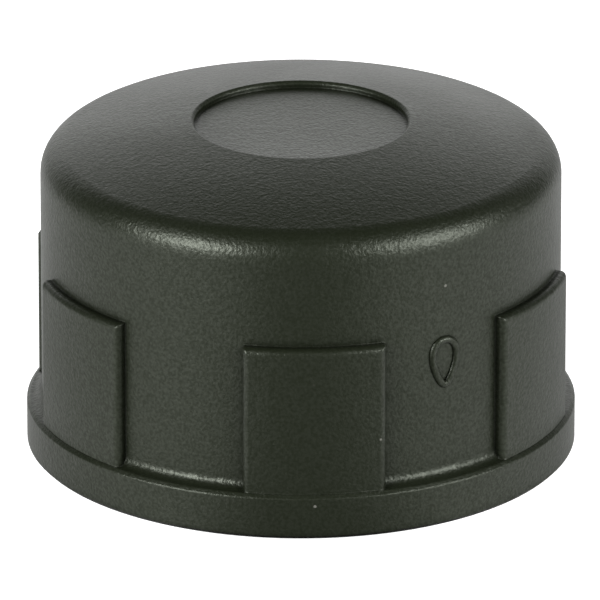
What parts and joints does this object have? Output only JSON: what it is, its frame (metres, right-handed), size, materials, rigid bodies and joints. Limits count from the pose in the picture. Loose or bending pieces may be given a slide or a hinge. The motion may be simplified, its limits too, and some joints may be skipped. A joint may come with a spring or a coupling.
{
  "type": "threaded protection cap",
  "caption": "Round moulded plastic screw cap with a domed crown, shallow crown recess, grip pads and a flange, female pipe thread inside; it closes and protects a threaded end.",
  "frame": {"origin": "centre of the open rim, in the plane that the cap stands on", "axes": "+Z along the cap's axis towards the crown, -Y through the middle of one grip pad"},
  "size_m": [0.04, 0.04, 0.0247],
  "materials": {
    "shell": "fine spark-eroded grain, satin"
  },
  "bodies": {
    "root": {"cap": "shell"}
  },
  "joints": []
}
